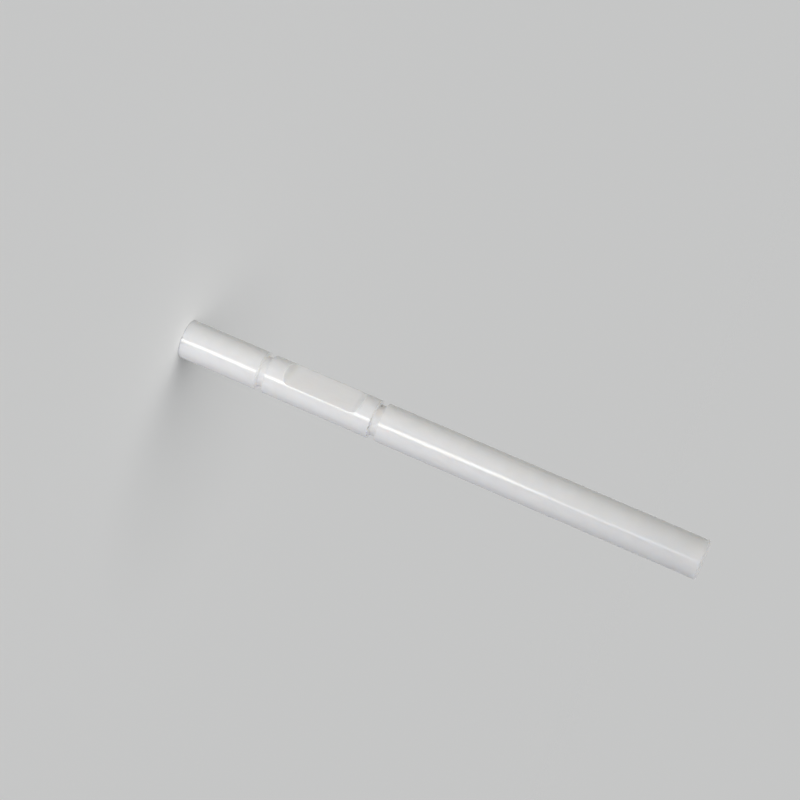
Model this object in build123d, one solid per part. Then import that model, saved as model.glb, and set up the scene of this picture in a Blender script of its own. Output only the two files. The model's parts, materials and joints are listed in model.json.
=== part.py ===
from build123d import *
import os

# A drive shaft ground from one rod of white technical ceramic.
# It stands on its short end: its axis is Z, its driving flat faces -Y, and
# the origin is the centre of the end face that it stands on.

# Driving dimensions, in millimetres
shaft_diameter = 8.0
short_journal_length = 17.0
seat_length = 23.1
long_journal_length = 67.2
end_chamfer = 0.18
groove_width = 1.56
groove_floor_diameter = 6.3
groove_lip_chamfer = 0.07
groove_corner_radius = 0.2
across_flat = 6.7
flat_start_shoulder = 3.5
flat_end_shoulder = 2.8
flat_corner_radius = 1.6

# How far a grinding wheel runs past the ceramic that it takes off
tool_overrun = 1.0

# Sizes that follow from them
shaft_radius = shaft_diameter / 2
groove_floor_radius = groove_floor_diameter / 2
groove_mouth_width = groove_width + 2 * groove_lip_chamfer
flat_offset = across_flat - shaft_radius
flat_span = seat_length - flat_start_shoulder - flat_end_shoulder

# Heights above the short end
seat_start_z = short_journal_length + groove_mouth_width
seat_end_z = seat_start_z + seat_length
flat_start_z = seat_start_z + flat_start_shoulder
shaft_length = seat_end_z + groove_mouth_width + long_journal_length
groove_centres_z = (seat_start_z - groove_mouth_width / 2, seat_end_z + groove_mouth_width / 2)


def ground_rod():
    """The plain rod, standing on its short end, with both end edges broken by a small chamfer."""
    rod = Cylinder(shaft_radius, shaft_length, align=(Align.CENTER, Align.CENTER, Align.MIN))
    return chamfer(rod.edges().filter_by(GeomType.CIRCLE), end_chamfer)


def groove_section(centre_z):
    """The section of the wheel that grinds one groove: straight walls, rounded floor corners, flared lips."""
    wall = groove_width / 2
    mouth = groove_mouth_width / 2
    rim = shaft_radius + tool_overrun
    shoulder = shaft_radius - groove_lip_chamfer
    outline = Polyline(
        (groove_floor_radius, centre_z - wall),
        (shoulder, centre_z - wall),
        (shaft_radius, centre_z - mouth),
        (rim, centre_z - mouth),
        (rim, centre_z + mouth),
        (shaft_radius, centre_z + mouth),
        (shoulder, centre_z + wall),
        (groove_floor_radius, centre_z + wall),
        close=True,
    )
    section = make_face(Plane.XZ * outline)
    floor_corners = section.vertices().group_by(Axis.X)[0]
    return fillet(floor_corners, groove_corner_radius)


def retaining_groove(centre_z):
    """The ring of ceramic that one groove for a retaining ring takes off."""
    return revolve(groove_section(centre_z), Axis.Z)


def driving_flat():
    """The block that the flat takes off, with the rounded corners that the wheel leaves at both ends."""
    width = shaft_diameter + 2 * tool_overrun
    depth = shaft_radius - flat_offset + flat_corner_radius
    block = Pos(0, -flat_offset, flat_start_z) * Box(
        width, depth, flat_span, align=(Align.CENTER, Align.MAX, Align.MIN)
    )
    end_edges = block.edges().filter_by(Axis.X).group_by(Axis.Y)[-1]
    return fillet(end_edges, flat_corner_radius)


def ceramic_shaft():
    """The whole shaft: the rod, less its two grooves and its flat."""
    shaft = ground_rod()
    for centre_z in groove_centres_z:
        shaft -= retaining_groove(centre_z)
    shaft -= driving_flat()
    return shaft


os.makedirs("parts", exist_ok=True)
export_step(ceramic_shaft(), "parts/ceramic_shaft.step")
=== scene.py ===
"""A white ceramic drive shaft, ground from one rod, in a plain pale studio."""

import json
import logging
import math
from dataclasses import dataclass
from enum import Enum

import bmesh
import bpy
from mathutils import Matrix, Vector


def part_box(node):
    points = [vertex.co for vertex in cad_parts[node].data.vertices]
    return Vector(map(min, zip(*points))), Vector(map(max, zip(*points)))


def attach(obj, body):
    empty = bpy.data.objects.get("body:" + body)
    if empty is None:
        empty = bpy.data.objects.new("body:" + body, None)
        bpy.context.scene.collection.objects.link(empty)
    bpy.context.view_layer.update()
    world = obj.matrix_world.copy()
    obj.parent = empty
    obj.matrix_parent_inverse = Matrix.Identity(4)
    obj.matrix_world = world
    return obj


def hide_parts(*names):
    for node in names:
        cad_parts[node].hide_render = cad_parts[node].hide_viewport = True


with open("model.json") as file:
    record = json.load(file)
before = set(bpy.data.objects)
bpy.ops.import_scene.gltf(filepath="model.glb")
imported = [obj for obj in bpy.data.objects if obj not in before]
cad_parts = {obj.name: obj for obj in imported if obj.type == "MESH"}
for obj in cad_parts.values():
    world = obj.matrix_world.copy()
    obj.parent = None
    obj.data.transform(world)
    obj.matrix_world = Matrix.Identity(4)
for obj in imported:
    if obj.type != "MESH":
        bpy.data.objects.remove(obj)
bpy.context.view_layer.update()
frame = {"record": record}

MM = 0.001
NODE = "ceramic_shaft"
BODY = "root"
UP = Vector((0.0, 0.0, 1.0))
WELD = 0.0001 * MM

# The sockets of a Mix node that mixes colours
MIX_FACTOR, MIX_FIRST, MIX_SECOND, MIXED_COLOUR = 0, 6, 7, 2

# The value that a noise lies around
NOISE_MIDDLE = 0.5

# How much more green than red and blue there is in the ceramic's white
GREEN_CAST = 0.002

log = logging.getLogger("ceramic_shaft")


def around(azimuth: float, distance: float, height: float) -> Vector:
    """Finds a point round the shaft's axis.

    Args:
        azimuth: Degrees from the driving flat's side, turning towards +X.
        distance: Metres from the axis.
        height: Metres above the end that the shaft stands on.

    Returns:
        The point.
    """
    turn = math.radians(azimuth)
    return Vector((distance * math.sin(turn), -distance * math.cos(turn), height))


def as_object(name: str, mesh: bmesh.types.BMesh) -> bpy.types.Object:
    """Turns a bmesh into an object at the origin.

    Args:
        name: The object's name.
        mesh: The bmesh, which is freed.

    Returns:
        The object, in the scene.
    """
    data = bpy.data.meshes.new(name)
    mesh.to_mesh(data)
    mesh.free()
    made = bpy.data.objects.new(name, data)
    bpy.context.scene.collection.objects.link(made)
    return made


class Value:
    """A shader socket that arithmetic can be written with."""

    def __init__(self, graph: "Graph", socket: bpy.types.NodeSocket | None) -> None:
        """Keeps the socket and the graph it belongs to."""
        self.graph = graph
        self.socket = socket

    def output(self, name: str) -> "Value":
        """Gives another output of the same node."""
        return Value(self.graph, self.socket.node.outputs[name])

    def __add__(self, other: "Value | float") -> "Value":
        """Adds."""
        return self.graph.math("ADD", self, other)

    __radd__ = __add__

    def __sub__(self, other: "Value | float") -> "Value":
        """Subtracts."""
        return self.graph.math("SUBTRACT", self, other)

    def __rsub__(self, other: float) -> "Value":
        """Subtracts this from a number."""
        return self.graph.math("SUBTRACT", other, self)

    def __mul__(self, other: "Value | float") -> "Value":
        """Multiplies."""
        return self.graph.math("MULTIPLY", self, other)

    __rmul__ = __mul__


class Graph:
    """A node tree that is being written."""

    def __init__(self, tree: bpy.types.NodeTree) -> None:
        """Empties the tree and keeps it."""
        tree.nodes.clear()
        self.tree = tree

    def node(self, kind: str, settings: dict | None = None, sockets: dict | None = None,
             output: str | int = 0) -> Value:
        """Adds a node.

        Args:
            kind: The node's type.
            settings: Its own settings, set first.
            sockets: Numbers, colours or values for its inputs, by name or number.
            output: The output that is wanted.

        Returns:
            That output, with no socket where the node has none.
        """
        node = self.tree.nodes.new(kind)
        for name, setting in (settings or {}).items():
            setattr(node, name, setting)
        for key, given in (sockets or {}).items():
            if isinstance(given, Value):
                self.tree.links.new(given.socket, node.inputs[key])
            else:
                node.inputs[key].default_value = given
        return Value(self, node.outputs[output] if len(node.outputs) else None)

    def math(self, operation: str, *terms: "Value | float") -> Value:
        """Adds a Math node over the terms."""
        return self.node("ShaderNodeMath", {"operation": operation}, dict(enumerate(terms)))

    def vector(self, operation: str, *terms: "Value | tuple", output: str | int = 0) -> Value:
        """Adds a Vector Math node over the terms."""
        return self.node("ShaderNodeVectorMath", {"operation": operation}, dict(enumerate(terms)), output)

    def join(self, x: "Value | float", y: "Value | float", z: "Value | float") -> Value:
        """Makes a vector of three values."""
        return self.node("ShaderNodeCombineXYZ", None, {"X": x, "Y": y, "Z": z})

    def ease(self, value: "Value | float", low: float, high: float) -> Value:
        """Rises smoothly from 0 at low to 1 at high, or falls where low is the larger.

        Args:
            value: The value that is followed.
            low: Where it gives 0.
            high: Where it gives 1.

        Returns:
            The eased value.
        """
        start, end, first, last = (low, high, 0.0, 1.0) if low < high else (high, low, 1.0, 0.0)
        return self.node(
            "ShaderNodeMapRange", {"interpolation_type": "SMOOTHSTEP"},
            {"Value": value, "From Min": start, "From Max": end, "To Min": first, "To Max": last},
        )

    def blend(self, factor: "Value | float", low: "Value | tuple", high: "Value | tuple") -> Value:
        """Mixes two colours.

        Args:
            factor: 0 for the first colour and 1 for the second.
            low: The first colour.
            high: The second colour.

        Returns:
            The mixed colour.
        """
        sockets = {MIX_FACTOR: factor, MIX_FIRST: low, MIX_SECOND: high}
        return self.node("ShaderNodeMix", {"data_type": "RGBA"}, sockets, MIXED_COLOUR)

    def cover(self, share: "Value | float", under: Value, over: Value) -> Value:
        """Lays one shader over another.

        Args:
            share: How much of the lower one is covered, from 0 to 1.
            under: The lower shader.
            over: The upper shader.

        Returns:
            The shader of both.
        """
        return self.node("ShaderNodeMixShader", None, dict(enumerate((share, under, over))))

    def noise(self, place: Value, scale: float, detail: float) -> Value:
        """Reads a noise of a given scale."""
        return self.node("ShaderNodeTexNoise", None, {"Vector": place, "Scale": scale, "Detail": detail})

    def close(self, kind: str, surface: Value) -> None:
        """Links the surface to the tree's output."""
        self.node(kind, None, {"Surface": surface})


@dataclass(frozen=True)
class ShaftSizes:
    """The shaft's sizes in metres, with heights above the end that it stands on."""

    radius: float
    length: float
    groove_centres: tuple[float, float]
    groove_mouth: float
    flat_offset: float
    flat_middle: float
    flat_span: float = 16.8 * MM
    flat_corner: float = 1.6 * MM
    end_chamfer: float = 0.18 * MM
    groove_lip: float = 0.07 * MM
    groove_floor: float = 3.15 * MM
    groove_corner: float = 0.2 * MM
    broken_edge: float = 0.03 * MM

    @classmethod
    def from_frame(cls, record: dict) -> "ShaftSizes":
        """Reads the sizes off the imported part.

        Args:
            record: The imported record, whose mounts give the journals, the grooves and the flat.

        Returns:
            The sizes.
        """
        low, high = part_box(NODE)
        mounts = {mount["name"]: mount for mount in record["mounts"]}
        journal = mounts["short_journal"]
        journal_end = journal["pos_m"][2] + journal["dims"]["length_mm"] * MM / 2
        centres = tuple(mounts[name]["pos_m"][2] for name in ("first_ring_groove", "second_ring_groove"))
        flat = mounts["driving_flat"]["pos_m"]
        return cls(
            radius=journal["dims"]["r_mm"] * MM,
            length=high.z - low.z,
            groove_centres=centres,
            groove_mouth=2 * (centres[0] - journal_end),
            flat_offset=-flat[1],
            flat_middle=flat[2],
        )


class Ground(Enum):
    """The surfaces that the maker finished in different ways, some also lightened as painted light, in the
    order of the piece's materials.
    """

    POLISHED = 0
    FLAT = 1
    GROOVE = 2
    END = 3
    WALL = 4


class Place:
    """Where a point of the shaft is, in millimetres, as a material sees it."""

    def __init__(self, graph: Graph) -> None:
        """Reads the object's own coordinates.

        Args:
            graph: The material's nodes.
        """
        metres = graph.node("ShaderNodeTexCoord", output="Object")
        self.graph = graph
        self.point = graph.vector("MULTIPLY", metres, (1 / MM, 1 / MM, 1 / MM))
        self.x = graph.node("ShaderNodeSeparateXYZ", None, {"Vector": self.point}, "X")
        self.y = self.x.output("Y")
        self.height = self.x.output("Z")
        self.reach = graph.vector("LENGTH", graph.join(self.x, self.y, 0.0), output="Value")
        self.turn = graph.math("ARCTAN2", self.x, 0.0 - self.y)

    def unroll(self, radius: float) -> Value:
        """Unrolls the surface: how far round from the flat's side, and how high, at a radius."""
        return self.graph.join(self.turn * radius, self.height, 0.0)


class Lay(Enum):
    """The way that grinding marks run."""

    ROUND = "round the axis"
    LENGTHWISE = "along the flat"
    ARCS = "in arcs across an end"

    def track(self, place: Place) -> Value:
        """Makes coordinates that change quickly across the marks and slowly along them.

        Args:
            place: Where the point is.

        Returns:
            The coordinates, for a noise that makes the marks.
        """
        slow = 0.12
        wheel = (38.0, 6.0, 0.0)
        graph = place.graph
        if self is Lay.ROUND:
            return graph.join(place.x * slow, place.y * slow, place.height + place.reach)
        if self is Lay.LENGTHWISE:
            return graph.join(place.x, place.y * slow, place.height * slow)
        sweep = graph.vector("DISTANCE", place.point, wheel, output="Value")
        return graph.join(sweep, place.x * slow, place.y * slow)


@dataclass(frozen=True)
class Stain:
    """A soft-edged mark of dirt: its middle, in degrees round and millimetres up, and its half sizes."""

    azimuth: float
    height: float
    half_arc: float
    half_height: float
    colour: tuple[float, float, float, float]
    strength: float
    edge: float = 1.25
    core: float = 0.35

    def mask(self, graph: Graph, unrolled: Value, radius: float, ragged: Value) -> Value:
        """Shows where the mark is.

        Args:
            graph: The material's nodes.
            unrolled: The unrolled place on the surface.
            radius: The shaft's radius in millimetres.
            ragged: A noise that frays the edge.

        Returns:
            The mark's cover, from 0 to its strength.
        """
        scale = (1 / self.half_arc, 1 / self.half_height, 0.0)
        round_to_middle = math.radians(self.azimuth) * radius
        shift = (-round_to_middle / self.half_arc, -self.height / self.half_height, 0.0)
        offset = graph.vector("MULTIPLY_ADD", unrolled, scale, shift)
        away = graph.vector("LENGTH", offset, output="Value") + ragged
        return graph.ease(away, self.edge, self.core) * self.strength


@dataclass(frozen=True)
class Grime:
    """The dirt that has gathered in and beside the ring groove next to the long journal."""

    radius: float
    fray: float = 0.7
    fray_scale: float = 3.5
    fray_detail: float = 3.0
    roughness: float = 0.65
    tint_rise: float = 0.25
    stains: tuple[Stain, ...] = (
        Stain(48.0, 41.84, 1.4, 0.22, (0.50, 0.48, 0.42, 1.0), 0.14),
        Stain(44.0, 43.42, 0.8, 0.18, (0.54, 0.52, 0.46, 1.0), 0.20),
        Stain(2.0, 42.75, 2.2, 0.90, (0.66, 0.56, 0.45, 1.0), 0.16),
        Stain(-22.0, 42.50, 1.0, 0.60, (0.42, 0.34, 0.26, 1.0), 0.24),
        Stain(-30.0, 42.25, 0.48, 0.18, (0.06, 0.045, 0.03, 1.0), 0.75),
        Stain(70.0, 41.83, 0.50, 0.09, (0.12, 0.11, 0.09, 1.0), 0.45),
        Stain(88.0, 41.80, 0.20, 0.10, (0.30, 0.10, 0.07, 1.0), 0.60),
        Stain(101.0, 41.80, 0.25, 0.10, (0.30, 0.10, 0.07, 1.0), 0.60),
        Stain(105.0, 43.50, 0.8, 0.20, (0.80, 0.50, 0.30, 1.0), 0.22),
    )

    def over(self, place: Place, ceramic: Value) -> Value:
        """Lays the dirt over clean ceramic.

        Args:
            place: Where the point is.
            ceramic: The clean ceramic's shader.

        Returns:
            The shader of both.
        """
        graph = place.graph
        unrolled = place.unroll(self.radius / MM)
        ragged = self.fray * (graph.noise(place.point, self.fray_scale, self.fray_detail) - NOISE_MIDDLE)
        colour = self.stains[0].colour
        clean = 1.0
        for stain in self.stains:
            mask = stain.mask(graph, unrolled, self.radius / MM, ragged)
            tinted = graph.ease(mask, 0.0, self.tint_rise * stain.strength)
            colour = graph.blend(tinted, colour, stain.colour)
            clean = clean * (1.0 - mask)
        dirt = graph.node(
            "ShaderNodeBsdfPrincipled", None, {"Base Color": colour, "Roughness": self.roughness},
        )
        return graph.cover(1.0 - clean, ceramic, dirt)


def white(tone: float) -> tuple[float, float, float, float]:
    """Gives the ceramic's white at a tone."""
    return (tone, tone + GREEN_CAST, tone, 1.0)


@dataclass(frozen=True)
class CeramicFinish:
    """A finish of the white ceramic: how rough it is ground and which way the marks run."""

    name: str
    lay: Lay
    roughness: float
    pitch: float
    depth: float
    sheen: float
    grime: Grime | None = None
    bright: float = 0.84
    dull: float = 0.815
    glow: float = 2.5
    marking: float = 0.0
    mark_detail: float = 4.0
    cloud_scale: float = 0.35
    cloud_detail: float = 3.0
    cloud_share: float = 0.75
    cloud_sheen: float = 0.5
    grain_scale: float = 6.0
    grain_detail: float = 2.0
    low_tone: float = 0.3
    high_tone: float = 0.7
    refraction: float = 2.1
    scatter: tuple[float, float, float] = (1.0, 0.93, 0.85)

    def material(self) -> bpy.types.Material:
        """Writes the finish as a material.

        Returns:
            The material.
        """
        material = bpy.data.materials.new(self.name)
        material.use_nodes = True
        graph = Graph(material.node_tree)
        place = Place(graph)
        cloud = graph.noise(place.point, self.cloud_scale, self.cloud_detail)
        grain = graph.noise(place.point, self.grain_scale, self.grain_detail)
        marks = graph.noise(self.lay.track(place), self.pitch, self.mark_detail)
        body = self.cloud_share * cloud + (1.0 - self.cloud_share) * grain
        tone = self.marking * marks + (1.0 - self.marking) * body
        marked_sheen = self.sheen * (marks - NOISE_MIDDLE)
        clouded_sheen = self.cloud_sheen * self.sheen * (cloud - NOISE_MIDDLE)
        bump = graph.node(
            "ShaderNodeBump", None, {"Strength": 1.0, "Distance": self.depth * MM, "Height": marks},
        )
        dulled = graph.ease(tone, self.low_tone, self.high_tone)
        surface = graph.node(
            "ShaderNodeBsdfPrincipled", None,
            {
                "Base Color": graph.blend(dulled, white(self.bright), white(self.dull)),
                "Roughness": self.roughness + marked_sheen + clouded_sheen,
                "Normal": bump,
                "IOR": self.refraction,
                "Subsurface Weight": 1.0,
                "Subsurface Radius": self.scatter,
                "Subsurface Scale": self.glow * MM,
            },
        )
        if self.grime:
            surface = self.grime.over(place, surface)
        graph.close("ShaderNodeOutputMaterial", surface)
        return material


@dataclass
class CeramicShaft:
    """The shaft: a ground rod with two ring grooves and a driving flat."""

    # The number of steps round the rod leaves no strip beside the flat so narrow
    # that breaking the flat's edge folds the mesh over.
    sizes: ShaftSizes
    steps: int = 260
    row_height: float = 25.0 * MM
    corner_segments: int = 4
    edge_segments: int = 2
    wheel_segments: int = 24
    overrun: float = 1.0 * MM
    rim_angle: float = 35.0
    sliver: float = 0.004 * MM
    level: float = 0.01
    round_error: float = 0.002 * MM
    end_slope: float = 0.9
    wall_slope: float = 0.5
    cut_reach: float = 0.998

    def outline(self) -> list[tuple[float, float]]:
        """Lists the corners of the rod's half section.

        Returns:
            The corners as (radius, height), from the bottom up.
        """
        sizes = self.sizes
        inner_end = sizes.radius - sizes.end_chamfer
        shoulder = sizes.radius - sizes.groove_lip
        corners = [(0.0, 0.0), (inner_end, 0.0), (sizes.radius, sizes.end_chamfer)]
        for centre in sizes.groove_centres:
            mouth = sizes.groove_mouth / 2
            wall = mouth - sizes.groove_lip
            corners += [
                (sizes.radius, centre - mouth),
                (shoulder, centre - wall),
                (sizes.groove_floor, centre - wall),
                (sizes.groove_floor, centre + wall),
                (shoulder, centre + wall),
                (sizes.radius, centre + mouth),
            ]
        top = sizes.length
        return corners + [(sizes.radius, top - sizes.end_chamfer), (inner_end, top), (0.0, top)]

    def half_section(self) -> bmesh.types.BMesh:
        """Draws the rod's half section, with its corners rounded or broken.

        Returns:
            The section as a line, with rows up its sides.
        """
        sizes = self.sizes
        mesh = bmesh.new()
        corners = [mesh.verts.new((radius, 0.0, height)) for radius, height in self.outline()]
        for pair in zip(corners, corners[1:]):
            mesh.edges.new(pair)
        floor_corners = [corner for corner in corners if abs(corner.co.x - sizes.groove_floor) < WELD]
        outer_corners = [corner for corner in corners if corner.co.x > sizes.groove_floor + WELD]
        for found, size, segments in (
            (floor_corners, sizes.groove_corner, self.corner_segments),
            (outer_corners, sizes.broken_edge, self.edge_segments),
        ):
            bmesh.ops.bevel(
                mesh, geom=found, offset=size, segments=segments, affect="VERTICES", profile=0.5, material=-1,
            )
        for edge in list(mesh.edges):
            rows = int(edge.calc_length() / self.row_height)
            if rows > 1 and abs(edge.verts[0].co.x - edge.verts[1].co.x) < WELD:
                bmesh.ops.subdivide_edges(mesh, edges=[edge], cuts=rows - 1)
        return mesh

    def rod(self) -> bpy.types.Object:
        """Spins the half section into the rod with its grooves.

        Returns:
            The rod.
        """
        mesh = self.half_section()
        bmesh.ops.spin(
            mesh, geom=mesh.verts[:] + mesh.edges[:], axis=UP, cent=(0.0, 0.0, 0.0),
            angle=math.tau, steps=self.steps, use_merge=True,
        )
        bmesh.ops.remove_doubles(mesh, verts=mesh.verts[:], dist=WELD)
        bmesh.ops.recalc_face_normals(mesh, faces=mesh.faces[:])
        return as_object("rod", mesh)

    def flat_wheel(self) -> bpy.types.Object:
        """Makes the block that the grinding wheel takes off for the flat, with its rounded corners.

        Returns:
            The block.
        """
        sizes = self.sizes
        depth = sizes.radius - sizes.flat_offset + sizes.flat_corner
        width = 2 * (sizes.radius + self.overrun)
        mesh = bmesh.new()
        bmesh.ops.create_cube(mesh, size=1.0)
        bmesh.ops.scale(mesh, vec=(width, depth, sizes.flat_span), verts=mesh.verts[:])
        bmesh.ops.translate(
            mesh, vec=(0.0, -sizes.flat_offset - depth / 2, sizes.flat_middle), verts=mesh.verts[:],
        )
        inner = [
            edge for edge in mesh.edges
            if all(abs(corner.co.y + sizes.flat_offset) < WELD for corner in edge.verts)
            and abs(edge.verts[0].co.z - edge.verts[1].co.z) < WELD
        ]
        bmesh.ops.bevel(
            mesh, geom=inner, offset=sizes.flat_corner, segments=self.wheel_segments,
            affect="EDGES", profile=0.5, material=-1,
        )
        return as_object("flat_wheel", mesh)

    def ground_shape(self) -> bpy.types.Object:
        """Grinds the flat into the rod and breaks the flat's edges.

        Returns:
            The shape, with no materials yet.
        """
        rod = self.rod()
        wheel = self.flat_wheel()
        cut = rod.modifiers.new("driving flat", "BOOLEAN")
        cut.operation = "DIFFERENCE"
        cut.solver = "EXACT"
        cut.object = wheel
        bpy.context.view_layer.update()
        mesh = bmesh.new()
        mesh.from_object(rod, bpy.context.evaluated_depsgraph_get())
        for spare in (rod, wheel):
            bpy.data.objects.remove(spare)
        bmesh.ops.remove_doubles(mesh, verts=mesh.verts[:], dist=self.sliver)
        rim = [edge for edge in mesh.edges if edge.calc_face_angle() > math.radians(self.rim_angle)]
        bmesh.ops.bevel(
            mesh, geom=rim, offset=self.sizes.broken_edge, segments=self.edge_segments, affect="EDGES",
            profile=0.5, material=-1, clamp_overlap=False,
        )
        return as_object("ground_ceramic_shaft", mesh)

    def true_normal(self, points: list[Vector], face: bpy.types.MeshPolygon, point: Vector) -> Vector | None:
        """Gives the exact normal of the surface that a face stands for.

        Args:
            points: The face's corners.
            face: The face.
            point: The corner that is asked about.

        Returns:
            The normal on a flat, level or round surface, and nothing on an edge between two of them.
        """
        on_flat = all(abs(corner.y + self.sizes.flat_offset) < WELD for corner in points)
        if on_flat or abs(face.normal.z) > 1 - self.level:
            return face.normal.copy()
        reach = [math.hypot(corner.x, corner.y) for corner in (*points, face.center)]
        if abs(face.normal.z) < self.level and max(reach) - min(reach) < self.round_error:
            return Vector((point.x, point.y, 0.0)).normalized()
        return None

    def shade(self, mesh: bpy.types.Mesh) -> None:
        """Gives the mesh its surfaces' exact normals, which the narrow edges between them join.

        Args:
            mesh: The ground shape.
        """
        met = {}
        normals = []
        for face in mesh.polygons:
            face.use_smooth = True
            points = [mesh.vertices[index].co for index in face.vertices]
            own = [self.true_normal(points, face, point) for point in points]
            normals += own
            met.update({index: found for index, found in zip(face.vertices, own) if found})
        blank = Vector((0.0, 0.0, 0.0))
        corners = [corner.vertex_index for corner in mesh.loops]
        mesh.normals_split_custom_set([own or met.get(index, blank) for own, index in zip(normals, corners)])

    def surface_of(self, centre: Vector, normal: Vector) -> Ground:
        """Names the finish of a face.

        Args:
            centre: The face's centre.
            normal: The face's normal.

        Returns:
            The finish.
        """
        sizes = self.sizes
        margin = sizes.end_chamfer / 2
        if abs(normal.z) > self.end_slope and (centre.z < margin or centre.z > sizes.length - margin):
            return Ground.END
        mouth = sizes.groove_mouth / 2 - sizes.groove_lip / 2
        if any(abs(centre.z - middle) < mouth for middle in sizes.groove_centres):
            return Ground.WALL if abs(normal.z) > self.wall_slope else Ground.GROOVE
        reach = math.hypot(centre.x, centre.y)
        if abs(centre.z - sizes.flat_middle) < sizes.flat_span / 2 and reach < sizes.radius * self.cut_reach:
            return Ground.FLAT
        return Ground.POLISHED

    def build(self, finishes: dict[Ground, CeramicFinish]) -> bpy.types.Object:
        """Builds the shaft and dresses it.

        Args:
            finishes: A finish for each kind of surface.

        Returns:
            The finished piece.
        """
        shaft = self.ground_shape()
        shaft.data.materials.clear()
        for surface in Ground:
            shaft.data.materials.append(finishes[surface].material())
        for face in shaft.data.polygons:
            face.material_index = self.surface_of(face.center, face.normal).value
        self.shade(shaft.data)
        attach(shaft, BODY)
        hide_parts(NODE)
        return shaft


class Gloss(Enum):
    """Whether a lamp shows in the polish."""

    STREAK = True
    NONE = False


class Tint(Enum):
    """The colours of the light."""

    WHITE = (1.0, 1.0, 1.0)
    SKY = (0.938, 0.991, 1.071)
    COOL = (0.967, 0.974, 1.06)
    WARM = (1.069, 1.03, 0.901)
    ROSE = (1.013, 0.993, 0.994)
    CREAM = (1.0, 0.995, 0.93)
    BLUE = (0.9, 0.97, 1.12)


def hang(data: bpy.types.Light, placed: Matrix, gloss: Gloss, lit: bpy.types.Collection) -> bpy.types.Object:
    """Hangs a lamp that the camera doesn't see.

    Args:
        data: The lamp's light.
        placed: Where it hangs and which way it is turned.
        gloss: Whether it shows in the polish.
        lit: What it lights.

    Returns:
        The lamp.
    """
    lamp = bpy.data.objects.new(data.name, data)
    lamp.matrix_world = placed
    lamp.visible_camera = False
    lamp.visible_glossy = gloss.value
    lamp.light_linking.receiver_collection = lit
    bpy.context.scene.collection.objects.link(lamp)
    return lamp


@dataclass(frozen=True)
class SoftPanel:
    """A soft upright lamp that faces the shaft's axis."""

    name: str
    azimuth: float
    distance: float
    foot: float
    head: float
    width: float
    radiance: float
    gloss: Gloss = Gloss.NONE
    tint: Tint = Tint.WHITE
    lean: float = 0.0

    def build(self, lit: bpy.types.Collection) -> bpy.types.Object:
        """Hangs the lamp square to the axis, upright or leaning a little.

        Args:
            lit: What it lights, so that it leaves no pool of light on the floor.

        Returns:
            The lamp.
        """
        data = bpy.data.lights.new(self.name, "AREA")
        data.shape = "RECTANGLE"
        data.size = self.width
        data.size_y = self.head - self.foot
        data.energy = math.pi * data.size * data.size_y * self.radiance
        data.color = self.tint.value
        place = around(self.azimuth, self.distance, (self.foot + self.head) / 2)
        back = around(self.azimuth, 1.0, 0.0)
        upright = Matrix((UP.cross(back), UP, back)).transposed().to_4x4()
        axes = Matrix.Rotation(math.radians(self.lean), 4, back) @ upright
        return hang(data, Matrix.Translation(place) @ axes, self.gloss, lit)


@dataclass(frozen=True)
class SkyPanel:
    """A large soft panel, far enough off to light evenly."""

    name: str
    azimuth: float
    elevation: float
    strength: float
    tint: Tint = Tint.WHITE
    spread: float = 40.0

    def build(self, lit: bpy.types.Collection) -> bpy.types.Object:
        """Hangs the panel as a wide sun lamp that leaves no reflection.

        Args:
            lit: What it lights.

        Returns:
            The lamp.
        """
        data = bpy.data.lights.new(self.name, "SUN")
        data.angle = math.radians(self.spread)
        data.energy = math.pi * self.strength
        data.color = self.tint.value
        rise = math.radians(self.elevation)
        back = around(self.azimuth, math.cos(rise), math.sin(rise))
        return hang(data, back.to_track_quat("Z", "Y").to_matrix().to_4x4(), Gloss.NONE, lit)


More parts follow.
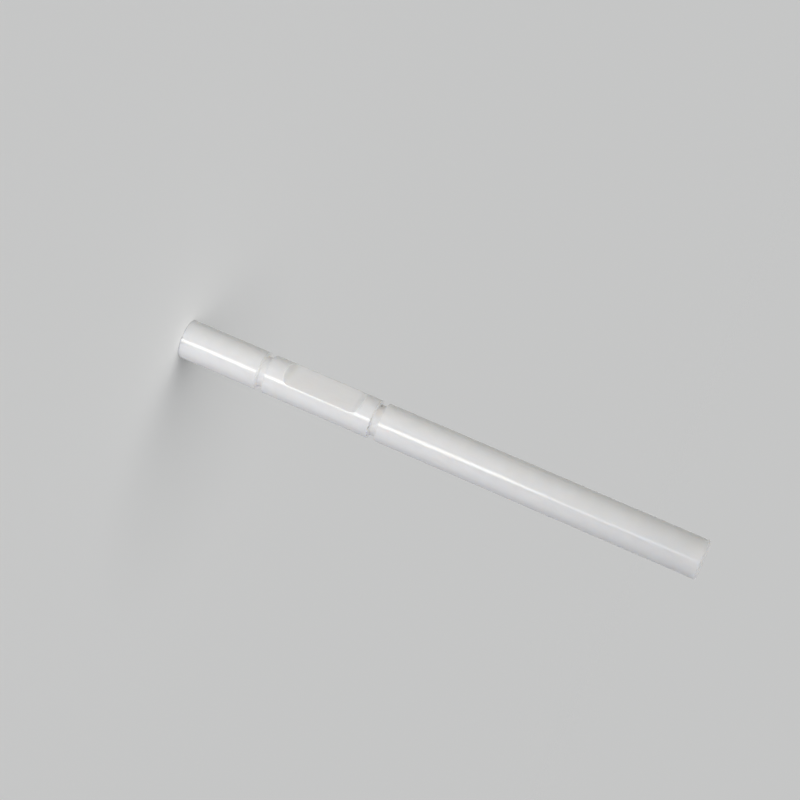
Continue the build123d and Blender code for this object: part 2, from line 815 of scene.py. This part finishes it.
@dataclass(frozen=True)
class Studio:
    """A pale floor and plain soft light."""

    floor_radius: float = 3.0
    floor_segments: int = 96
    floor_colour: tuple[float, float, float] = (0.82, 0.82, 0.81)
    fade_start: float = 0.5
    fade_end: float = 1.8
    ambient: float = 0.085
    ambient_tint: Tint = Tint.SKY
    overhead: SkyPanel = SkyPanel("overhead_panel", azimuth=10.0, elevation=72.0, strength=0.635)
    lamps: tuple[SkyPanel | SoftPanel, ...] = (
        SkyPanel("lower_high_panel", azimuth=100.0, elevation=45.0, strength=0.14, tint=Tint.COOL),
        SkyPanel("upper_high_panel", azimuth=-25.0, elevation=45.0, strength=0.13, tint=Tint.WARM),
        SkyPanel("low_panel", azimuth=37.0, elevation=-50.0, strength=0.088, tint=Tint.SKY),
        SkyPanel("back_top_panel", azimuth=217.0, elevation=55.0, strength=0.4),
        SoftPanel(
            "streak_box_low", azimuth=55.0, distance=0.33, foot=-0.13, head=0.032, width=0.096,
            radiance=2.25, gloss=Gloss.STREAK, tint=Tint.CREAM, lean=5.0,
        ),
        SoftPanel(
            "streak_box_high", azimuth=55.0, distance=0.33, foot=0.032, head=0.112, width=0.06,
            radiance=0.95, gloss=Gloss.STREAK, tint=Tint.BLUE, lean=10.0,
        ),
        SoftPanel(
            "key_box", azimuth=42.0, distance=0.17, foot=-0.09, head=0.09, width=0.22,
            radiance=1.855, tint=Tint.ROSE,
        ),
        SoftPanel(
            "lower_side_box", azimuth=100.0, distance=0.3, foot=-0.15, head=0.0, width=0.15,
            radiance=1.65, tint=Tint.COOL,
        ),
        SoftPanel(
            "upper_side_box", azimuth=-25.0, distance=0.3, foot=0.06, head=0.22, width=0.15,
            radiance=1.2, tint=Tint.WARM,
        ),
        SoftPanel("back_box", azimuth=217.0, distance=0.2, foot=-0.12, head=0.16, width=0.12, radiance=2.0),
        SoftPanel(
            "back_streak_box", azimuth=219.0, distance=0.33, foot=-0.13, head=0.1, width=0.06,
            radiance=1.3, gloss=Gloss.STREAK,
        ),
    )

    def backdrop(self) -> tuple[float, float, float, float]:
        """Works out the tone that the floor has far off, which the backdrop takes on.

        Returns:
            The colour.
        """
        sun = self.overhead.strength * math.sin(math.radians(self.overhead.elevation))
        light = [self.ambient * tint + sun for tint in self.ambient_tint.value]
        return (*(colour * level for colour, level in zip(self.floor_colour, light)), 1.0)

    def floor(self) -> bpy.types.Object:
        """Lays the floor, which only the camera sees, fading into the backdrop far off.

        Returns:
            The floor.
        """
        mesh = bmesh.new()
        bmesh.ops.create_circle(
            mesh, cap_ends=True, radius=self.floor_radius, segments=self.floor_segments,
        )
        floor = as_object("floor", mesh)
        material = bpy.data.materials.new("pale_floor")
        material.use_nodes = True
        graph = Graph(material.node_tree)
        matt = graph.node("ShaderNodeBsdfDiffuse", None, {"Color": (*self.floor_colour, 1.0)})
        clear = graph.node("ShaderNodeBsdfTransparent")
        place = graph.node("ShaderNodeTexCoord", output="Object")
        reach = graph.vector("LENGTH", place, output="Value")
        fade = graph.ease(reach, self.fade_start, self.fade_end)
        graph.close("ShaderNodeOutputMaterial", graph.cover(fade, matt, clear))
        floor.data.materials.append(material)
        floor.visible_diffuse = False
        floor.visible_glossy = False
        floor.visible_shadow = False
        return floor

    def world(self) -> None:
        """Makes the light from all round, and the pale backdrop that shows directly and in the polish."""
        world = bpy.data.worlds.new("studio")
        world.use_nodes = True
        graph = Graph(world.node_tree)
        tint = (*self.ambient_tint.value, 1.0)
        light = graph.node("ShaderNodeBackground", None, {"Color": tint, "Strength": self.ambient})
        shown = graph.node("ShaderNodeBackground", None, {"Color": self.backdrop(), "Strength": 1.0})
        ray = graph.node("ShaderNodeLightPath", output="Is Camera Ray")
        mirrored = graph.math("MAXIMUM", ray.output("Is Glossy Ray"), ray.output("Is Transmission Ray"))
        seen = graph.math("MAXIMUM", ray, mirrored)
        graph.close("ShaderNodeOutputWorld", graph.cover(seen, light, shown))
        bpy.context.scene.world = world

    def only(self, piece: bpy.types.Object) -> bpy.types.Collection:
        """Makes a collection of one thing, for the lamps that light nothing else.

        Args:
            piece: The one thing.

        Returns:
            The collection.
        """
        lit = bpy.data.collections.new("only_" + piece.name)
        lit.objects.link(piece)
        return lit

    def build(self, shaft: bpy.types.Object) -> list[bpy.types.Object]:
        """Builds the floor, the world and the lamps.

        Args:
            shaft: The piece that every lamp lights, apart from the overhead panel.

        Returns:
            The floor and the lamps.
        """
        self.world()
        floor = self.floor()
        on_shaft = self.only(shaft)
        return [floor, self.overhead.build(self.only(floor))] + [lamp.build(on_shaft) for lamp in self.lamps]


@dataclass(frozen=True)
class PhotoCamera:
    """The photo's camera: turned on its side, it looks a little down at the standing shaft."""

    eye: tuple[float, float, float] = (0.23349, -0.30985, 0.12800)
    right: tuple[float, float, float] = (-0.4284, -0.0883, 0.8993)
    ahead: tuple[float, float, float] = (-0.5992, 0.7727, -0.2096)
    lens: float = 91.43
    near: float = 0.01
    far: float = 20.0

    def build(self) -> bpy.types.Object:
        """Sets up the camera and makes it the scene's.

        Returns:
            The camera.
        """
        data = bpy.data.cameras.new("photo_camera")
        data.lens = self.lens
        data.clip_start = self.near
        data.clip_end = self.far
        camera = bpy.data.objects.new("photo_camera", data)
        back = -Vector(self.ahead).normalized()
        side = Vector(self.right)
        side = (side - side.dot(back) * back).normalized()
        axes = Matrix((side, back.cross(side), back)).transposed().to_4x4()
        camera.matrix_world = Matrix.Translation(Vector(self.eye)) @ axes
        bpy.context.scene.collection.objects.link(camera)
        bpy.context.scene.camera = camera
        return camera


def ceramic_finishes(grime: Grime) -> dict[Ground, CeramicFinish]:
    """Lists the shaft's finishes, with lighter tones on the flat, the groove floors and the groove walls as
    painted light.

    Args:
        grime: The dirt, which lies on the polished ceramic and in the grooves.

    Returns:
        A finish for each kind of surface.
    """
    return {
        Ground.POLISHED: CeramicFinish(
            "polished_ceramic", Lay.ROUND, roughness=0.13, pitch=4.0, depth=0.0003, sheen=0.05, grime=grime,
        ),
        # The flat's tones are set lighter than the polished rod's: painted light that makes up for light the
        # flat doesn't get.
        Ground.FLAT: CeramicFinish(
            "ground_flat", Lay.LENGTHWISE, roughness=0.34, pitch=5.0, depth=0.0035, sheen=0.16,
            bright=0.876, dull=0.842, marking=0.5,
        ),
        # The groove floors' tones are set lighter than the polished rod's: painted light against the shade in
        # the grooves.
        Ground.GROOVE: CeramicFinish(
            "ground_groove", Lay.ROUND, roughness=0.50, pitch=6.0, depth=0.0020, sheen=0.12, grime=grime,
            bright=0.862, dull=0.828, marking=0.4,
        ),
        Ground.END: CeramicFinish(
            "ground_end", Lay.ARCS, roughness=0.38, pitch=5.0, depth=0.0040, sheen=0.18,
            bright=0.848, dull=0.807, marking=0.5,
        ),
        # The groove walls' tones are set lighter still: painted light against the shade that falls on the
        # walls inside the grooves.
        Ground.WALL: CeramicFinish(
            "ground_groove_wall", Lay.ROUND, roughness=0.50, pitch=6.0, depth=0.0020, sheen=0.12, grime=grime,
            bright=0.89, dull=0.87, glow=4.0,
        ),
    }


def main() -> None:
    """Builds the scene and reports its pieces."""
    logging.basicConfig(level=logging.INFO, format="%(message)s")
    bpy.context.scene.view_settings.view_transform = "Standard"
    sizes = ShaftSizes.from_frame(frame["record"])
    shaft = CeramicShaft(sizes).build(ceramic_finishes(Grime(sizes.radius)))
    log.info("%s: %d faces", shaft.name, len(shaft.data.polygons))
    for made in Studio().build(shaft):
        log.info("%s", made.name)
    log.info("%s", PhotoCamera().build().name)


if __name__ == "__main__":
    main()
